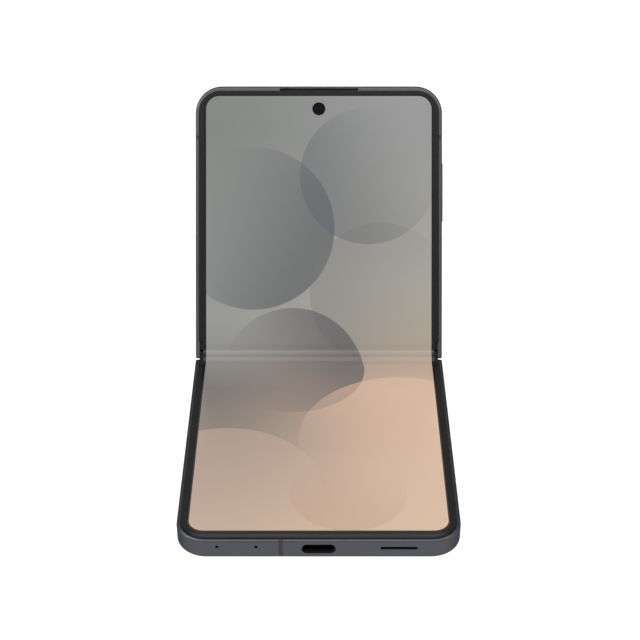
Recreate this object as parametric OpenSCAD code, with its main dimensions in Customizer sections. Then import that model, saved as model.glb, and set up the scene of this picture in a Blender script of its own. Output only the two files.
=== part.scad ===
// Clamshell foldable smartphone, half open, resting on its lower half.
// X runs across the body, +Y away from the user, +Z up.
// The origin is the centre of the lower half's back face.
// Each half is drawn flat in its own frame, with the fold line at y = 0
// and the back face at z = 0, and is then turned about the hinge axes.

/* [Body] */
// Width of the body
body_w = 75.2; // [70:0.1:80]
// Length of one half, from the fold line to its far end
half_l = 83.35; // [76:0.05:90]
// Thickness of one half, from its back face to the top of its bezel
body_t = 6.5; // [6.3:0.05:6.8]
// Outer radius of the four far corners
corner_r = 8.2; // [7:0.1:10]

/* [Screen] */
// Width of the lit area
screen_w = 69.1; // [64:0.1:71]
// Radius of the front camera's hole in the screen
punch_r = 1.85; // [1.2:0.05:2.2]

/* [Fold] */
// Angle between the two halves at rest
fold_angle = 122.6; // [95:0.1:175]
// Clearance between the two bezels when the phone is shut
shut_gap = 0.7; // [0.5:0.05:1]

/* [Keys] */
// Length of the volume key
volume_l = 18.4; // [14:0.1:22]
// Length of the power key
power_l = 13.0; // [10:0.1:16]

/* [Hidden] */
$fn = 64;
// Depth of the hinge axes below the top of the bezel
axis_d = 1.55;
axis_z = body_t - axis_d;
// Half of the spacing between the two hinge axes
ax = axis_d + shut_gap / 2;
phi = (180 - fold_angle) / 2;
hinge_y = half_l / 2;

// Heights in a half's own frame
glass_t = 0.6;
mid_z = axis_z - 0.65;
mid_top = axis_z - 0.05;
plate_z = axis_z + 0.10;
panel_z = axis_z + 0.35;
screen_z = body_t - 0.4;
rim_z = body_t - 0.55;

// Distances in from the outer edge
rim_in = 1.0;
cav_in = 2.0;
panel_in = 2.4;
screen_in = (body_w - screen_w) / 2;
panel_r = 4.8;
end_gap = 0.35;
fold_in = 1.25;
fold_corner_r = 0.6;
flex_y = 7.0;
cap_x = 36.1;

// Hinge
spine_r = 4.05;
spine_w = 0.55;
seat_r = 4.30;
spine_l = 72.0;
rail_r0 = 2.10;
rail_r1 = 2.70;
module_x = 14;
pin_n = 10;
pin_r = 0.65;
sector_n = 30;
sector_r = 1.95;
gear_m = 2 * pin_r / pin_n;
pin_z = -sqrt(pow(sector_r + pin_r, 2) - pow(ax - 3 * pin_r, 2));
mesh_a = atan2(pin_z, ax - 3 * pin_r);

// ---- Placement ----------------------------------------------------------

// Turns its children about the X axis through (y, z)
module turn(y, z, a) {
  translate([0, y, z]) rotate([a, 0, 0]) translate([0, -y, -z]) children();
}
module in_lower() { translate([0, hinge_y, 0]) children(); }
// Children are drawn with the hinge centre line at y = 0, z = 0
module in_spine() {
  translate([0, hinge_y, 0]) turn(-ax, axis_z, phi)
    translate([0, 0, axis_z]) children();
}
// Children are drawn as for the lower half, extending towards -Y
module in_upper() {
  translate([0, hinge_y, 0]) turn(-ax, axis_z, phi) turn(ax, axis_z, phi)
    mirror([0, 1, 0]) children();
}

// ---- Shared shapes ------------------------------------------------------

// Outline of a half, moved in by d (and by far at its far end)
function outline(d, y1, far, n = 10, r0) =
  let (f = is_undef(far) ? d : far,
       r = is_undef(r0) ? corner_r - max(d, f) : r0, w = body_w / 2 - d, y0 = -half_l + f)
  concat(
    [for (i = [0 : n]) let (a = 180 + 90 * i / n)
      [-w + r + r * cos(a), y0 + r + r * sin(a)]],
    [for (i = [0 : n]) let (a = 270 + 90 * i / n)
      [w - r + r * cos(a), y0 + r + r * sin(a)]],
    [[w, y1], [-w, y1]]
  );

module slab(z0, z1, d, y1, far, n = 10, r0) {
  translate([0, 0, z0]) linear_extrude(height = z1 - z0)
    polygon(outline(d, y1, far, n, r0));
}

// A rod along X
module rod_x(y, z, r, x0, x1) {
  translate([x0, y, z]) rotate([0, 90, 0]) cylinder(r = r, h = x1 - x0);
}
// A rod along Y, its near end at y0
module rod_y(x, z, r, y0, y1) {
  translate([x, y1, z]) rotate([90, 0, 0]) cylinder(r = r, h = y1 - y0);
}
// A slot along Y with round ends, w wide and h high
module slot_y(x, z, w, h, y0, y1) {
  rod_y(x - (w - h) / 2, z, h / 2, y0, y1);
  rod_y(x + (w - h) / 2, z, h / 2, y0, y1);
  translate([x - (w - h) / 2, y0, z - h / 2]) cube([w - h, y1 - y0, h]);
}
// A box with round corners in plan
module pad(x0, x1, y0, y1, z0, z1, r = 0.6) {
  translate([0, 0, z0]) linear_extrude(height = z1 - z0)
    polygon([for (c = [[x1 - r, y1 - r, 0], [x0 + r, y1 - r, 90],
                       [x0 + r, y0 + r, 180], [x1 - r, y0 + r, 270]],
                  i = [0 : 5])
      [c[0] + r * cos(c[2] + 18 * i), c[1] + r * sin(c[2] + 18 * i)]]);
}
// A pan head screw, its head up at z
module screw(x, y, z, l, r = 0.5, head = 0.9, head_h = 0.25) {
  difference() {
    union() {
      translate([x, y, z - head_h]) cylinder(r = head, h = head_h);
      translate([x, y, z - head_h - l]) cylinder(r = r, h = l + 0.01);
    }
    for (a = [0, 90])
      translate([x, y, z]) rotate([0, 0, a])
        cube([1.0, 0.22, 0.24], center = true);
  }
}

// Section of the outer wall: u runs outwards from the corner's centre
bottom_round = [0.95, 1.15];
top_round = [0.75, 0.8];
function wall_section(u0, r = corner_r) = concat(
  [[u0, 0]],
  [for (i = [0 : 7]) let (a = 90 * i / 7)
    [r - bottom_round[0] * (1 - sin(a)), bottom_round[1] * (1 - cos(a))]],
  [for (i = [0 : 5]) let (a = 90 * i / 5)
    [r - top_round[0] * (1 - cos(a)), rim_z - top_round[1] * (1 - sin(a))]],
  [[u0, rim_z]]
);
// The outer block of a half, with its rounded edges
module half_block() {
  cx = body_w / 2 - corner_r;
  cy = half_l - corner_r;
  union() {
    for (s = [-1, 1]) {
      translate([s * cx, -cy, 0]) rotate([0, 0, s > 0 ? -90 : 180])
        rotate_extrude(angle = 90) polygon(wall_section(0));
      translate([s * cx, -end_gap, 0]) rotate([90, 0, 0])
        linear_extrude(height = cy - end_gap)
          polygon([for (p = wall_section(0)) [s * p[0], p[1]]]);
    }
    translate([-cx, -cy, 0]) rotate([90, 0, 90]) linear_extrude(height = 2 * cx)
      polygon([for (p = wall_section(0)) [-p[0], p[1]]]);
    translate([-cx, -cy, 0]) cube([2 * cx, cy - end_gap, rim_z]);
  }
}

// Everything cut from both frames alike
module frame_cuts(far) {
  // Seat of the back glass
  slab(-1, glass_t, 1.15, -3.4);
  // Room for battery and boards
  slab(0.3, mid_z, cav_in, -10.7);
  // Seat of the bezel and the screen
  slab(mid_top, body_t + 1, rim_in, -5.5, far);
  slab(mid_top, body_t + 1, fold_in, 2, max(fold_in, far));
  // The hinge spine turns in here
  rod_x(-ax, axis_z, seat_r, -36.2, 36.2);
  translate([-36.2, -ax, axis_z - seat_r]) cube([72.4, 5, 10]);
  // Room for the caps on the spine's ends
  rod_x(-ax, axis_z, 1.0, -body_w / 2 + fold_in, body_w / 2 - fold_in);
  // Upright edges beside the fold are rounded
  for (s = [-1, 1]) mirror([s > 0 ? 0 : 1, 0, 0]) difference() {
    translate([body_w / 2 - fold_corner_r, -end_gap - fold_corner_r, -1]) cube([2, 2, 9]);
    translate([body_w / 2 - fold_corner_r, -end_gap - fold_corner_r, -2])
      cylinder(r = fold_corner_r, h = 12);
  }
  // The side walls' inner corners clear each other as the phone folds
  difference() {
    translate([-50, -ax, axis_z]) cube([100, 5, 5]);
    rod_x(-ax, axis_z, ax - end_gap, -60, 60);
  }
  // Screw holes of the hinge wing
  for (x = wing_screw_x) translate([x, -8.9, mid_top - 1.6])
    cylinder(r = 0.52, h = 2);
}
wing_screw_x = [-31, -12.6, 0, 12.6, 31];

// A band that crosses the frame's wall, for a plastic break
module break_band(x, y, along_x, t = 1.2) {
  if (along_x)
    translate([x - t / 2, y < -40 ? -half_l - 1 : y, -1]) cube([t, 2.6, 9]);
  else
    translate([x < 0 ? -body_w / 2 - 1 : body_w / 2 - 1.6, y - t / 2, -1])
      cube([2.6, t, 9]);
}
module breaks(list) { for (b = list) break_band(b[0], b[1], b[2]); }
lower_breaks = [[-9.9, -80, true], [-30, -68, false], [30, -68, false]];
upper_breaks = [[-9.7, -80, true], [-30, -67.8, false], [30, -67.8, false]];
// A break fills only the outer skin of the wall
module break_zone(depth = 1.3) {
  difference() {
    slab(-1, 9, -1, 0, -1);
    slab(-2, 10, depth, 2);
  }
}
module break_inserts(list, far) {
  difference() {
    intersection() {
      half_block();
      break_zone();
      breaks(list);
    }
    slab(mid_top, body_t + 1, rim_in, -5.5, far);
    slab(-1, glass_t, 1.15, -3.4);
    if (far > rim_in) earpiece_slot();
  }
}
module earpiece_slot() {
  translate([-11.9, -half_l + 0.68, mid_top - 1.0]) cube([23.8, 0.8, 4]);
}
// The rim round the screen is wider at the earpiece's end
lower_far = rim_in;
upper_far = 1.45;

// ---- Lower half ---------------------------------------------------------

key_z = 3.0;
port_z = 3.2;
slot_z = 3.45;
slot_x = 21.0;
mic_z = 3.85;
mic_x = [-26.5, -16.35];

module lower_frame() {
  color([0.33, 0.34, 0.37]) in_lower() difference() {
    half_block();
    frame_cuts(lower_far);
    intersection() { break_zone(); breaks(lower_breaks); }
    // Charging port
    slot_y(0, port_z, 9.0, 3.0, -half_l - 1, -74.0);
    // Microphones
    for (x = mic_x) rod_y(x, mic_z, 0.45, -half_l - 1, -half_l + 3);
    // Speaker outlet
    slot_y(slot_x, slot_z, 9.8, 0.9, -half_l - 1, -half_l + 3);
    // Sub board screws
    for (x = [-33, 33]) translate([x, -74, mid_z - 0.3])
      cylinder(r = 0.52, h = 2);
  }
}
module lower_antenna_breaks() {
  color([0.27, 0.27, 0.30]) in_lower() break_inserts(lower_breaks, lower_far);
}
module lower_back_glass() {
  color([0.28, 0.29, 0.33]) in_lower() slab(0, glass_t, 1.2, -3.45);
}
module lower_battery() {
  color([0.12, 0.12, 0.13]) in_lower()
    pad(-33, 33, -60.5, -10.9, 0.95, 4.2, 1.2);
}
module charging_coil() {
  color([0.72, 0.42, 0.26]) in_lower() translate([0, -35, 0.66]) difference() {
    cylinder(r = 22, h = 0.25);
    translate([0, 0, -1]) cylinder(r = 11, h = 3);
  }
}
module sub_circuit_board() {
  color([0.08, 0.22, 0.18]) in_lower() {
    difference() {
      intersection() {
        union() {
          pad(-35, -9.6, -78.8, -62.5, 3.5, 4.25, 0.8);
          pad(-9.9, 10.2, -73.4, -62.5, 3.5, 4.25, 0.4);
        }
        slab(3, 5, cav_in + 0.3, 0);
      }
      translate([-33, -74, 0]) cylinder(r = 0.56, h = 9);
    }
    pad(-33, -28.5, -67.5, -63.5, 2.4, 3.5, 0.3);
    pad(-19, -13, -71, -66, 2.6, 3.5, 0.3);
    pad(-6, 6, -69, -66, 2.7, 3.5, 0.3);
  }
}
module sub_board_screws() {
  color([0.7, 0.7, 0.72]) in_lower()
    mirror([0, 0, 1]) {
      screw(-33, -74, -3.24, 1.3);
      screw(33, -74, -1.5, 3.0);
    }
}
module usb_c_shell() {
  color([0.55, 0.56, 0.58]) in_lower() difference() {
    slot_y(0, port_z, 8.9, 2.9, -half_l + 0.7, -74.2);
    slot_y(0, port_z, 8.34, 2.56, -half_l - 1, -74.8);
  }
}
module usb_c_tongue() {
  color([0.1, 0.1, 0.11]) in_lower()
    translate([-3.2, -half_l + 1.9, port_z - 0.35])
      cube([6.4, half_l - 1.9 - 74.8, 0.7]);
}
module speaker_module() {
  color([0.1, 0.1, 0.11]) in_lower() difference() {
    intersection() {
      pad(11.0, 35.2, -79.8, -62.5, 1.1, 4.2, 1.4);
      slab(0, 5, cav_in + 0.2, 0);
    }
    translate([33, -74, 0]) cylinder(r = 1.0, h = 1.76);
    translate([33, -74, 0]) cylinder(r = 0.56, h = 6);
    slot_y(slot_x, slot_z, 8.8, 0.7, -82, -76);
  }
}
module speaker_mesh() {
  color([0.06, 0.06, 0.07]) in_lower() slot_y(slot_x, slot_z, 9.7, 0.8,
    -half_l + 1.3, -half_l + 1.5);
}
module microphones() {
  color([0.6, 0.55, 0.35]) in_lower() for (x = mic_x)
    difference() {
      pad(x - 1.9, x + 1.9, -81.2, -79.0, 2.2, 4.27, 0.2);
      rod_y(x, mic_z, 0.28, -82, -80.4);
    }
}
module vibration_motor() {
  color([0.5, 0.5, 0.52]) in_lower()
    translate([-26, -73.2, 0.75]) cylinder(r = 4.2, h = 2.6);
}

// ---- Screen -------------------------------------------------------------

module support_plate() {
  slab(mid_top + 0.02, panel_z, panel_in, -10.7);
}
module lower_support_plate() {
  color([0.35, 0.35, 0.36]) in_lower() support_plate();
}
module lower_display_panel() {
  color([0.78, 0.66, 0.57]) in_lower()
    slab(panel_z, screen_z, panel_in, -flex_y, r0 = panel_r);
}
// The raised ring round the screen, open at the fold
module bezel_ring(far) {
  difference() {
    union() {
      slab(mid_top, body_t, rim_in + 0.05, -5.55, far);
      // Low strip beside the part of the screen that bends
      slab(mid_top, screen_z - 0.45, fold_in + 0.05, -3.1, max(fold_in + 0.05, far));
    }
    slab(-1, screen_z + 0.02, panel_in - 0.05, 2, r0 = panel_r);
    slab(-1, body_t + 1, screen_in - 0.3, 2, r0 = panel_r - 0.2);
    // Room over the part of the screen that rises to the fold
    translate([-body_w / 2 + panel_in - 0.05, -7.6, screen_z])
      cube([body_w - 2 * panel_in + 0.1, 10, 0.24]);
  }
}
module lower_bezel() {
  color([0.09, 0.09, 0.10]) in_lower() bezel_ring(rim_in + 0.05);
}

// ---- Hinge --------------------------------------------------------------

// A closed ring sector about the X axis through (y, z), from angle a0 to a1
// measured from +Y towards +Z
module ring_x(y, z, r0, r1, a0, a1, x0, x1) {
  translate([x0, y, z]) rotate([90, 0, 90])
    rotate([0, 0, a0]) rotate_extrude(angle = a1 - a0)
      translate([r0, 0]) square([r1 - r0, x1 - x0]);
}
// Gear outline with n teeth, tooth 0 pointing along +X, teeth i0 to i1
function tooth_points(n, r, i0, i1) =
  let (m = 2 * r / n, p = 360 / n, rt = r + 0.75 * m, rr = r - 1.15 * m)
  [for (i = [i0 : i1], k = [0 : 3])
    let (a = i * p + p * [-0.27, -0.09, 0.09, 0.27][k], q = (k == 0 || k == 3) ? rr : rt)
    [q * cos(a), q * sin(a)]];
module gear_x(n, r, y, z, turned, x0, x1) {
  translate([x0, y, z]) rotate([90, 0, 90]) rotate([0, 0, turned])
    linear_extrude(height = x1 - x0) polygon(tooth_points(n, r, 0, n - 1));
}
// Phase that puts the sector's tooth in the first pinion's gap
sector_phase = mesh_a + (mesh_a + 90) * pin_n / sector_n;

module wing(side) {
  // side +1 for the lower wing and -1 for the upper, which sits in its own lane
  rail = side > 0 ? 1.1 : 4.3;
  sect = side > 0 ? 7.5 : 9.3;
  difference() {
    union() {
      // Plate that backs the screen beside the fold
      translate([-33.5, -10.5, mid_top]) cube([67, 4.1, plate_z + 0.23 - mid_top]);
      translate([-33.5, -6.6, plate_z - 0.02]) cube([67, 2.5, 0.25]);
      for (s = [-1, 1]) {
        x0 = s > 0 ? module_x : -module_x - 12;
        ring_x(-ax, axis_z, rail_r0, rail_r1, 172.5, 300, x0 + rail, x0 + rail + 2.2);
        translate([x0 + sect, -4.4, plate_z - 0.02]) cube([1.6, 1.15, 0.25]);
        ring_x(-ax, axis_z, 1.30, sector_r - 1.1 * gear_m, 173, 368, x0 + sect, x0 + sect + 1.6);
        // Toothed edge of the sector
        translate([x0 + sect, -ax, axis_z]) rotate([90, 0, 90])
          rotate([0, 0, sector_phase + (side > 0 ? 0 : 180 / sector_n)])
            linear_extrude(height = 1.6)
            polygon(concat(tooth_points(sector_n, sector_r, -1, 8),
              [for (i = [8 : -1 : -1], k = [0, 1])
                1.5 * [cos(i * 12 + (k == 0 ? 3 : -3)), sin(i * 12 + (k == 0 ? 3 : -3))]]));
      }
    }
    // Windows for the flex cables
    for (x = [-8, 8]) translate([x - 3.6, -11, 0]) cube([7.2, 5.8, 9]);
    for (x = wing_screw_x) {
      translate([x, -8.9, 0]) cylinder(r = 0.56, h = 9);
      translate([x, -8.9, mid_top + 0.14]) cylinder(r = 0.95, h = 9);
    }
  }
}
module wing_screws() {
  for (x = wing_screw_x) screw(x, -8.9, mid_top + 0.36, 1.5, 0.5, 0.9, 0.22);
}
module lower_hinge_wing() {
  color([0.5, 0.5, 0.52]) in_lower() wing(1);
}
module lower_wing_screws() {
  color([0.75, 0.75, 0.77]) in_lower() wing_screws();
}

// The trough that covers the hinge, seen on the back when the phone is shut
module trough_profile(r) {
  // In the Y-Z plane, drawn as X-Y, open at the top
  intersection() {
    union() {
      translate([-ax, 0]) circle(r = r);
      translate([ax, 0]) circle(r = r);
      translate([-ax, -r]) square([2 * ax, r]);
    }
    translate([-20, -20]) square([40, 20]);
  }
}
module trough(r, x0, x1) {
  translate([x0, 0, 0]) rotate([90, 0, 90]) linear_extrude(height = x1 - x0)
    trough_profile(r);
}
module hinge_spine_cover() {
  color([0.30, 0.31, 0.34]) in_spine() difference() {
    trough(spine_r, -spine_l / 2, spine_l / 2);
    translate([0, 0, 0.01]) trough(spine_r - spine_w, -spine_l / 2 + 1.0, spine_l / 2 - 1.0);
    // Rounded-down edge at each side so that the wings pass over
    translate([-50, -20, -0.06]) cube([100, 40, 1]);
    for (x = bracket_screw_x) translate([x, 0, -spine_r + 0.2]) cylinder(r = 0.36, h = 4);
  }
}
bracket_screw_x = [-27.6, -12.4, 12.4, 27.6];
module bracket_block(x0) {
  difference() {
    union() {
      trough(spine_r - spine_w - 0.05, x0, x0 + 12);
      // Feet for the screws
      translate([x0 - 2.6, -1.2, -spine_r + spine_w + 0.01]) cube([17.2, 2.4, 0.5]);
    }
    translate([-50, -20, -0.08]) cube([100, 40, 1]);
    // Arc grooves of the two wings
    ring_x(-ax, 0, rail_r0 - 0.06, rail_r1 + 0.06, 168, 308, x0 + 1.0, x0 + 3.4);
    ring_x(ax, 0, rail_r0 - 0.06, rail_r1 + 0.06, 232, 372, x0 + 4.2, x0 + 6.6);
    // Gear room
    rod_x(-ax, 0, 2.2, x0 + 7.4, x0 + 11.0);
    rod_x(ax, 0, 2.2, x0 + 7.4, x0 + 11.0);
    translate([x0 + 7.4, -2.85, -5]) cube([3.6, 5.7, 6]);
    // Bearings of the gear shafts
    for (i = [0 : 3]) rod_x(pin_y(i), pin_z, 0.33, x0 + 6.5, x0 + 13);
    // Screw holes in the feet
    for (x = bracket_screw_x) translate([x, 0, -6]) cylinder(r = 0.40, h = 4);
  }
}
function pin_y(i) = (2 * i - 3) * pin_r;
module hinge_brackets() {
  color([0.45, 0.45, 0.47]) in_spine() {
    bracket_block(module_x);
    bracket_block(-module_x - 12);
  }
}
module hinge_bracket_screws() {
  color([0.75, 0.75, 0.77]) in_spine()
    for (x = bracket_screw_x)
      screw(x, 0, -spine_r + spine_w + 0.51 + 0.22, 0.8, 0.34, 0.7, 0.22);
}
// Black blocks on the spine's ends, beside the folding screen
module hinge_end_caps() {
  color([0.05, 0.05, 0.06]) in_spine()
    for (s = [-1, 1]) {
      w = body_w / 2 - fold_in - 0.05 - 35.26;
      x0 = s > 0 ? 35.26 : -35.26 - w;
      difference() {
        union() {
          rod_x(-ax, 0, 0.9, x0, x0 + w);
          rod_x(ax, 0, 0.9, x0, x0 + w);
          translate([x0, -ax, -0.9]) cube([w, 2 * ax, 1.8]);
        }
        translate([-50, -10, -5]) cube([100, 20, 4.94]);
        for (k = [-1, 1]) translate([k > 0 ? 36.1 : -40, -10, -5]) cube([3.9, 20, 5.02]);
      }
    }
}
// Gears turn 3 times as far as the wings, each against its neighbour
module sync_gear(i) {
  dir = i % 2 == 0 ? 1 : -1;
  in_spine() for (s = [-1, 1]) {
    x0 = s > 0 ? module_x : -module_x - 12;
    union() {
      gear_x(pin_n, pin_r, pin_y(i), pin_z,
        (i % 2 == 0 ? 0 : 180 / pin_n) + dir * phi * sector_n / pin_n,
        x0 + 7.5, x0 + 10.9);
      rod_x(pin_y(i), pin_z, 0.30, x0 + 6.7, x0 + 11.8);
    }
  }
}
module sync_gear_1() { color([0.66, 0.6, 0.42]) sync_gear(0); }
module sync_gear_2() { color([0.66, 0.6, 0.42]) sync_gear(1); }
module sync_gear_3() { color([0.66, 0.6, 0.42]) sync_gear(2); }
module sync_gear_4() { color([0.66, 0.6, 0.42]) sync_gear(3); }

// The bent strip of screen between the two flat panels
screen_h = screen_z - axis_z;
plane_t = (ax - screen_h * sin(phi)) / cos(phi);
fold_r = (flex_y - ax + plane_t) / tan(phi);
fold_z = screen_h * cos(phi) - plane_t * sin(phi) + fold_r / cos(phi);
module display_fold_section() {
  w = body_w - 2 * panel_in;
  color([0.62, 0.58, 0.54]) in_spine() translate([-w / 2, 0, fold_z])
    rotate([0, 90, 0]) rotate([0, 0, -phi]) rotate_extrude(angle = 2 * phi)
      translate([fold_r, 0]) square([screen_z - panel_z, w]);
}
// A half's point (y, z), seen from the spine
function from_half(p) =
  let (y = p[0] + ax, z = p[1] - axis_z)
  [-ax + y * cos(phi) + z * sin(phi), -y * sin(phi) + z * cos(phi)];
function bez(p, t) =
  pow(1 - t, 3) * p[0] + 3 * t * pow(1 - t, 2) * p[1]
  + 3 * t * t * (1 - t) * p[2] + pow(t, 3) * p[3];
cable_t = 0.08;
cable_p0 = from_half([-3.9, mid_top + 0.06]);
cable_dir = [cos(phi), -sin(phi)];
cable_curve = [cable_p0, cable_p0 + 0.8 * cable_dir, [-1.5, 0.15], [0, 0.15]];
cable_half = concat([from_half([-10.6, mid_top + 0.06])],
  [for (i = [0 : 9]) bez(cable_curve, i / 9)]);
cable_line = concat(cable_half, [for (i = [9 : -1 : 0]) [-cable_half[i][0], cable_half[i][1]]]);
function unit(v) = v / norm(v);
function side_at(i) =
  let (a = cable_line[max(i - 1, 0)], b = cable_line[min(i + 1, len(cable_line) - 1)],
       d = unit(b - a))
  [-d[1], d[0]] * cable_t / 2;
module hinge_flex_cables() {
  color([0.75, 0.5, 0.2]) in_spine()
    for (x = [-8, 8]) translate([x - 3, 0, 0]) rotate([90, 0, 90])
      linear_extrude(height = 6)
        polygon(concat([for (i = [0 : len(cable_line) - 1]) cable_line[i] + side_at(i)],
          [for (i = [len(cable_line) - 1 : -1 : 0]) cable_line[i] - side_at(i)]));
}

// ---- Upper half ---------------------------------------------------------

cam_x = [22.5, 6.5];
cam_y = -70.2;
selfie_y = -76.4;
volume_x = 36.87;
volume_y = -51.1;
power_y = -27.2;
sim_y = -40;

module upper_frame() {
  color([0.33, 0.34, 0.37]) in_upper() difference() {
    half_block();
    frame_cuts(upper_far);
    intersection() { break_zone(); breaks(upper_breaks); }
    // Earpiece slot in the rim, and its channel from the receiver
    earpiece_slot();
    translate([-8, -half_l + 0.9, mid_top - 1.0]) cube([16, 1.4, 0.35]);
    // Top microphones
    for (x = [-22, 24]) rod_y(x, key_z, 0.45, -half_l - 1, -half_l + 3);
    // Front camera passes through the middle plate
    translate([0, selfie_y, mid_z - 1]) cylinder(r = 2.4, h = 3);
    // Volume key and its two plungers
    translate([body_w / 2 - 1.0, volume_y - volume_l / 2 - 0.1, key_z - 1.1]) cube([3, volume_l + 0.2, 2.2]);
    for (d = [-6, 6]) translate([body_w / 2 - 3, volume_y + d, key_z]) rotate([0, 90, 0]) cylinder(r = 0.65, h = 4);
    // Power key
    translate([body_w / 2 - 1.0, power_y - power_l / 2 - 0.1, key_z - 1.1]) cube([3, power_l + 0.2, 2.2]);
    translate([body_w / 2 - 3, power_y, key_z]) rotate([0, 90, 0]) cylinder(r = 0.65, h = 4);
    // Card tray
    translate([-body_w / 2 - 1, sim_y - 7.1, key_z - 1.1]) cube([2.0, 14.2, 2.2]);
    translate([-body_w / 2 - 1, sim_y - 6.6, key_z - 0.6]) cube([4.5, 13.2, 1.2]);
    // Main board screws
    for (p = board_screws) translate([p[0], p[1], mid_z - 0.3])
      cylinder(r = 0.52, h = 2);
  }
}
board_screws = [[-33, -62], [33, -63.4]];
module upper_antenna_breaks() {
  color([0.27, 0.27, 0.30]) in_upper() break_inserts(upper_breaks, upper_far);
}
module upper_cover_glass() {
  color([0.05, 0.05, 0.06]) in_upper() difference() {
    slab(0, glass_t, 1.2, -3.45);
    for (x = cam_x) translate([x, cam_y, -1]) cylinder(r = 6.45, h = 3);
    translate([-5.0, cam_y, -1]) cylinder(r = 1.85, h = 3);
  }
}
module cover_display_panel() {
  color([0.08, 0.08, 0.09]) in_upper() pad(-34, 34, -61.5, -10.9, glass_t + 0.02, 1.5, 2);
}
module upper_battery() {
  color([0.12, 0.12, 0.13]) in_upper() pad(-19, 33.2, -42.6, -10.9, 1.55, 4.2, 1.2);
}
module main_circuit_board() {
  color([0.08, 0.22, 0.18]) in_upper() difference() {
    intersection() {
      pad(-35, 34.9, -81.1, -43.2, 3.45, 4.0, 1.5);
      slab(3, 5, cav_in + 0.2, 0);
    }
    for (x = cam_x) translate([x, cam_y, 0]) cylinder(r = 6.0, h = 9);
    translate([0, selfie_y, 0]) cylinder(r = 2.7, h = 9);
    translate([-11.5, -90, 0]) cube([23.3, 10.2, 9]);
    for (p = board_screws) translate([p[0], p[1], 0]) cylinder(r = 0.6, h = 9);
    for (p = [volume_y, power_y]) translate([34.2, p - 10, 0]) cube([4, 20, 9]);
    translate([-36, -47.6, 2]) cube([15, 15.4, 3]);
  }
}
module shield_cans() {
  color([0.6, 0.6, 0.62]) in_upper() {
    pad(-30, -2, -60, -48.4, 1.6, 3.45, 0.5);
    pad(1, 30, -60, -46, 1.6, 3.45, 0.5);
    pad(-32, -14, -76, -64, 1.6, 3.45, 0.5);
  }
}
module main_board_screws() {
  color([0.7, 0.7, 0.72]) in_upper() mirror([0, 0, 1]) {
    screw(-33, -62, -3.19, 1.3);
    screw(33, -63.4, -3.19, 1.3);
  }
}
module camera_module(x) {
  in_upper() {
    translate([x, cam_y, 0.62]) cylinder(r = 5.2, h = 0.6);
    translate([x, cam_y, 1.2]) cylinder(r = 5.7, h = 3.0);
  }
}
module wide_camera_module() { color([0.07, 0.07, 0.08]) camera_module(cam_x[0]); }
module ultrawide_camera_module() { color([0.07, 0.07, 0.08]) camera_module(cam_x[1]); }
module camera_lens_rings() {
  color([0.4, 0.41, 0.44]) in_upper() for (x = cam_x)
    translate([x, cam_y, 0]) rotate_extrude()
      polygon([[5.0, -1.05], [5.9, -1.05], [6.15, -0.95], [6.3, -0.7], [6.3, 0],
               [6.4, 0], [6.4, 0.6], [5.4, 0.6], [5.4, -0.5], [5.0, -0.5]]);
}
module camera_lens_glasses() {
  color([0.03, 0.03, 0.04]) in_upper() for (x = cam_x)
    translate([x, cam_y, -0.5]) cylinder(r = 5.38, h = 0.6);
}
module flash_lens() {
  color([0.9, 0.88, 0.75]) in_upper() translate([-5.0, cam_y, 0.02]) {
    cylinder(r = 1.8, h = 1.2);
  }
}
module selfie_camera() {
  color([0.03, 0.03, 0.04]) in_upper() {
    translate([0, selfie_y, 2.0]) cylinder(r = 2.3, h = axis_z + 0.25 - 2.0);
    translate([0, selfie_y, axis_z + 0.2]) cylinder(r = 1.7, h = screen_z - 0.12 - axis_z - 0.2);
  }
}
module earpiece_receiver() {
  color([0.1, 0.1, 0.11]) in_upper() pad(-8.5, 11, -81.2, -79.9, 1.6, 4.2, 0.4);
}
module earpiece_mesh() {
  color([0.06, 0.06, 0.07]) in_upper()
    translate([-11.85, -half_l + 0.72, mid_top - 0.8]) cube([23.7, 0.68, 0.75]);
}
module key_switches() {
  color([0.65, 0.65, 0.66]) in_upper() {
    for (y = [volume_y - 6, volume_y + 6, power_y])
      pad(34.3, 35.44, y - 1.6, y + 1.6, 2.0, 3.9, 0.2);
  }
}
module sim_reader() {
  color([0.6, 0.6, 0.62]) in_upper() difference() {
    pad(-35.4, -21.6, sim_y - 7.3, sim_y + 7.3, 2.3, 3.9, 0.3);
    translate([-36, sim_y - 6.6, key_z - 0.52]) cube([13.6, 13.2, 1.04]);
  }
}
module upper_support_plate() {
  color([0.35, 0.35, 0.36]) in_upper() difference() {
    support_plate();
    translate([0, selfie_y, 0]) cylinder(r = 2.5, h = 9);
  }
}
module upper_display_panel() {
  color([0.60, 0.61, 0.59]) in_upper() difference() {
    slab(panel_z, screen_z, panel_in, -flex_y, r0 = panel_r);
    translate([0, selfie_y, 0]) cylinder(r = punch_r, h = 9);
  }
}
module upper_bezel() {
  color([0.09, 0.09, 0.10]) in_upper() bezel_ring(1.5);
}
module upper_hinge_wing() {
  color([0.5, 0.5, 0.52]) in_upper() wing(-1);
}
module upper_wing_screws() {
  color([0.75, 0.75, 0.77]) in_upper() wing_screws();
}

// ---- Keys and card tray ------------------------------------------------

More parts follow.
